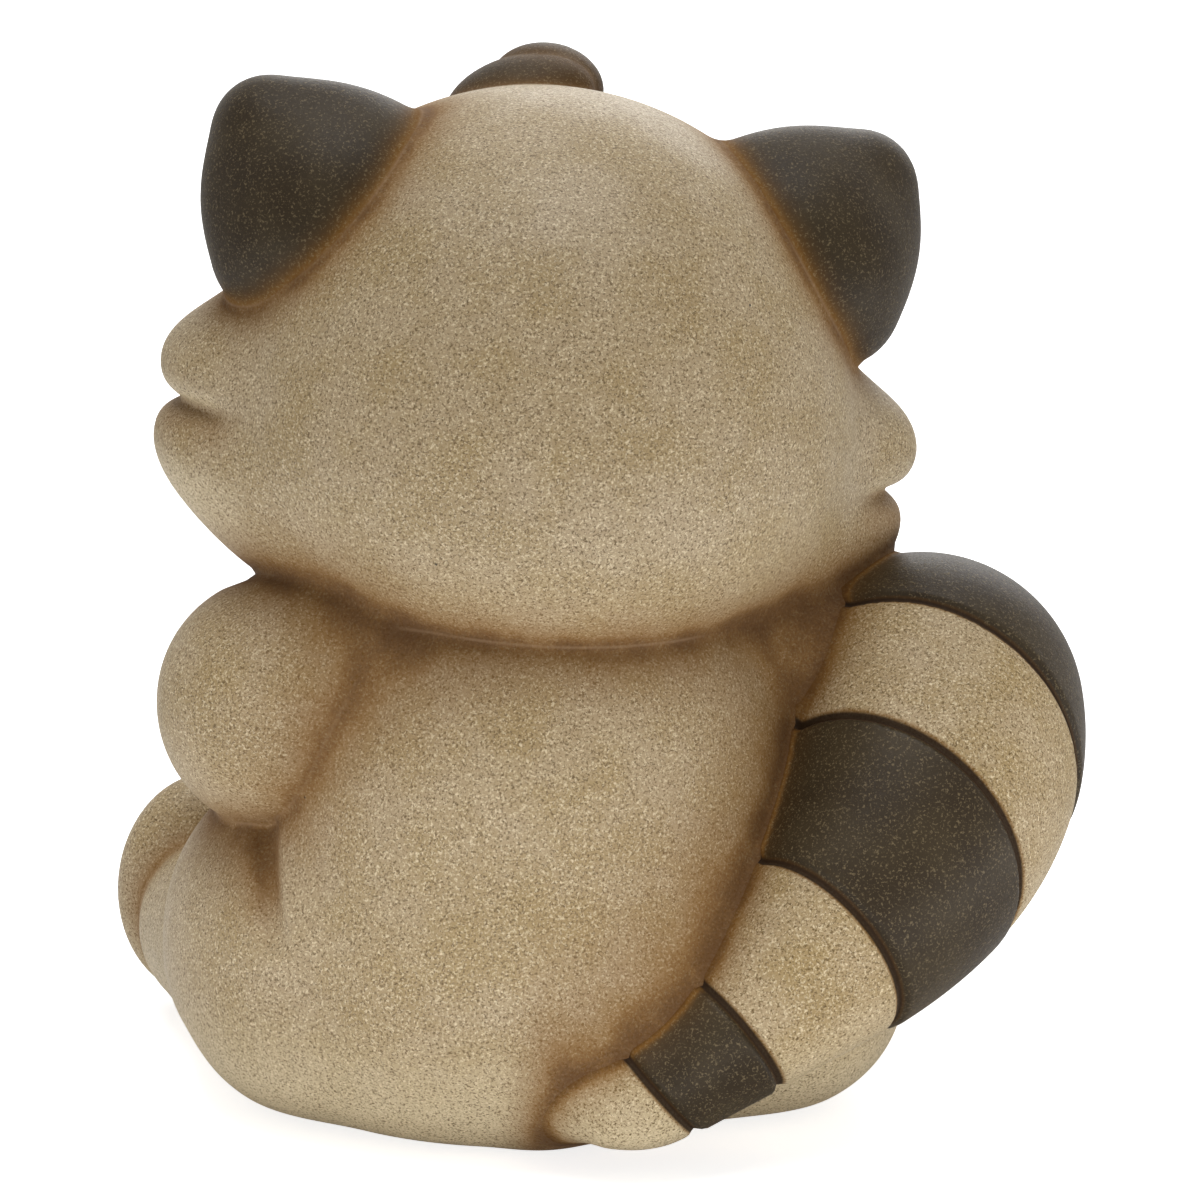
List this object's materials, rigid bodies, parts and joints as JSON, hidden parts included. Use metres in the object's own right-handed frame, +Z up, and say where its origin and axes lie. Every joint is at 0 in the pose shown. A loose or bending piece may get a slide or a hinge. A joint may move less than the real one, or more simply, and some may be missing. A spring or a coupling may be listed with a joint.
{
  "type": "ceramic raccoon figurine",
  "caption": "Seated hollow ceramic raccoon with cheek ruffs, tipped head, small forelock and a thick banded tail curled round one side, on a flat base.",
  "frame": {"origin": "middle of the flat patch under the seat that the figurine stands on, between the haunches and ahead of the drain hole", "axes": "+Z up, the raccoon faces -Y, its own left side is +X, its tail curls round -X"},
  "size_m": [0.1074, 0.0881, 0.1202],
  "materials": {
    "beige_engobe": "satin-matt sprayed beige slip with fine brown specks and rust-brown shading in the creases",
    "dark_engobe": "satin-matt dark brown slip with pale specks",
    "banded_engobe": "satin-matt beige slip with dark brown bands between carved rings",
    "black_glaze": "glossy black glaze"
  },
  "bodies": {
    "root": {"head": "beige_engobe", "torso": "beige_engobe", "arm_left": "beige_engobe", "arm_right": "beige_engobe", "foot_left": "beige_engobe", "foot_right": "beige_engobe", "tail": "banded_engobe", "ear_left": "dark_engobe", "ear_right": "dark_engobe", "forelock": "dark_engobe", "forelock_small": "dark_engobe", "nose": "black_glaze", "eye_left": "black_glaze", "eye_right": "black_glaze"}
  },
  "joints": []
}
